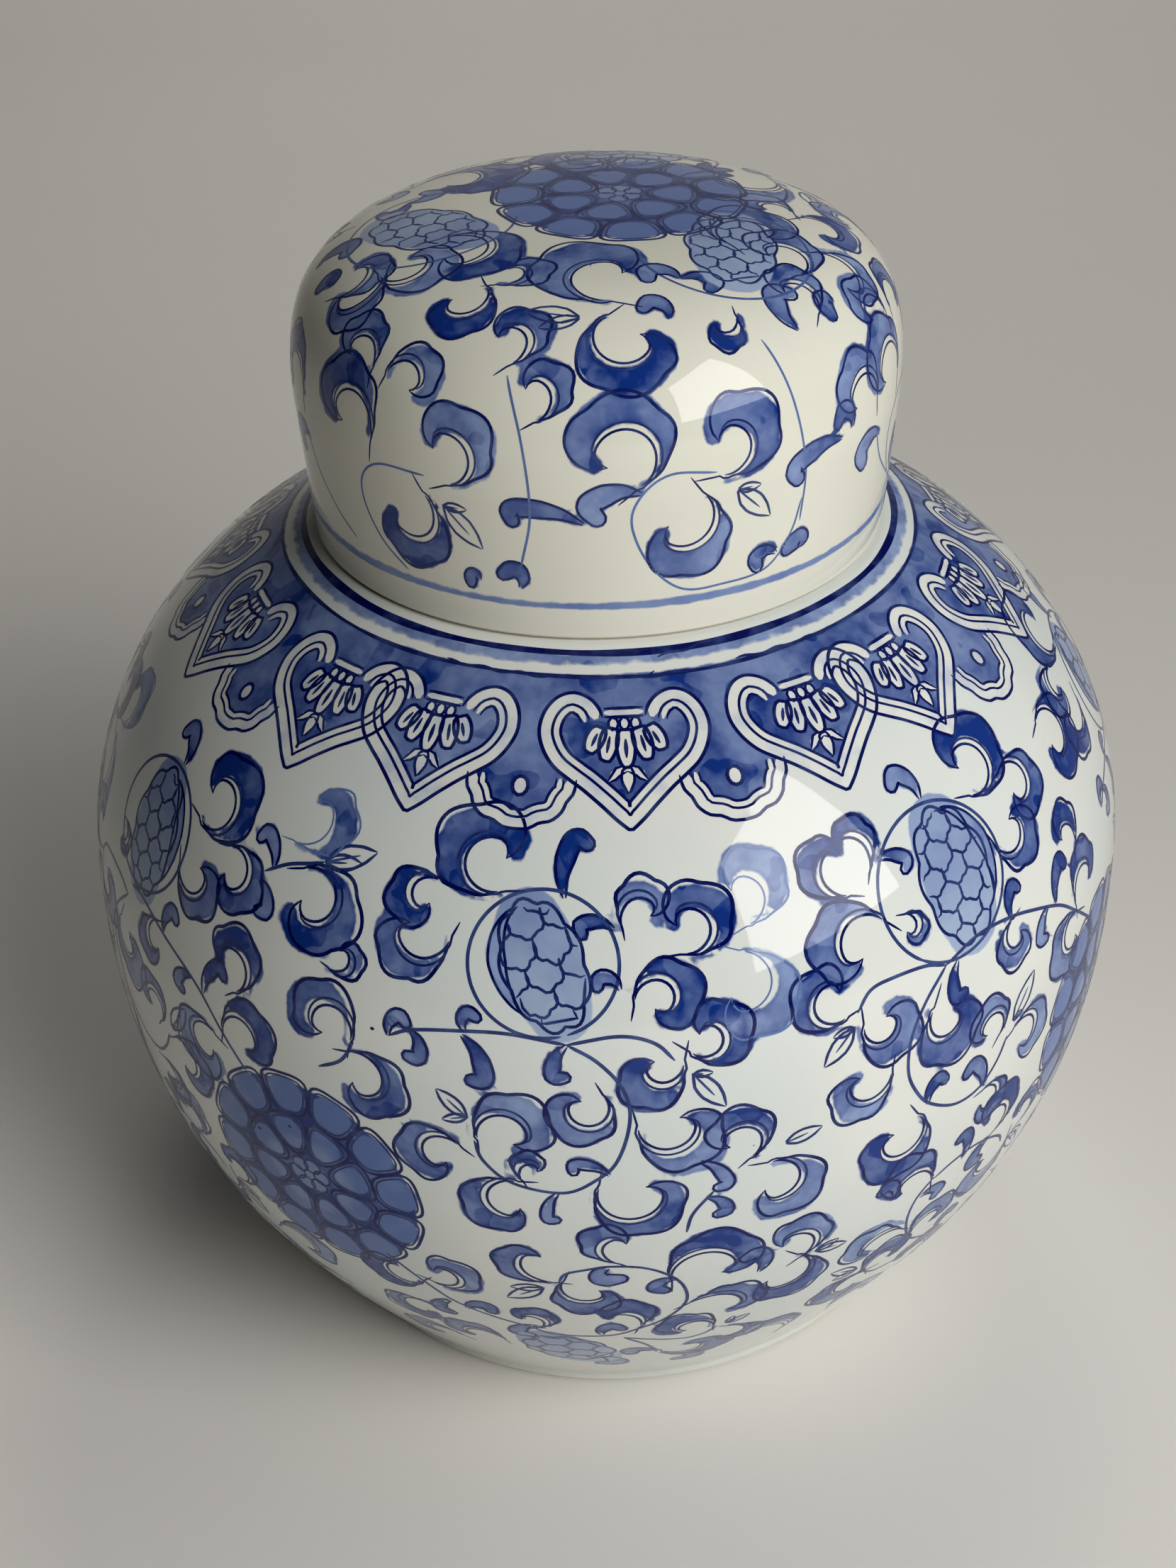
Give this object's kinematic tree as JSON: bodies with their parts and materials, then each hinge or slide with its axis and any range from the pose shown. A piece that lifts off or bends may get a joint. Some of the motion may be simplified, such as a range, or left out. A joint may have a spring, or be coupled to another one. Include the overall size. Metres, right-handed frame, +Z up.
{
  "type": "ginger jar",
  "caption": "Globular porcelain ginger jar with a short neck, foot ring and domed cap lid that lifts off, painted with blue scrolling foliage under a clear glaze.",
  "frame": {"origin": "middle of the foot ring's resting face, on the jar's axis", "axes": "+Z up along the axis that both pieces are turned about; +X and +Y are free, because both pieces are round"},
  "size_m": [0.23, 0.23, 0.2538],
  "materials": {
    "jar_porcelain": "glossy clear glaze over cobalt blue painting, unglazed biscuit at the foot and the seat",
    "lid_porcelain": "glossy clear glaze over cobalt blue painting, unglazed biscuit at the rim"
  },
  "bodies": {
    "jar": {"jar": "jar_porcelain"},
    "lid": {"lid": "lid_porcelain"}
  },
  "joints": [
    {"name": "lid_lift", "type": "slide", "parent": "jar", "child": "lid", "axis": [0, 0, 1], "range_m": [0, 0.1]}
  ]
}
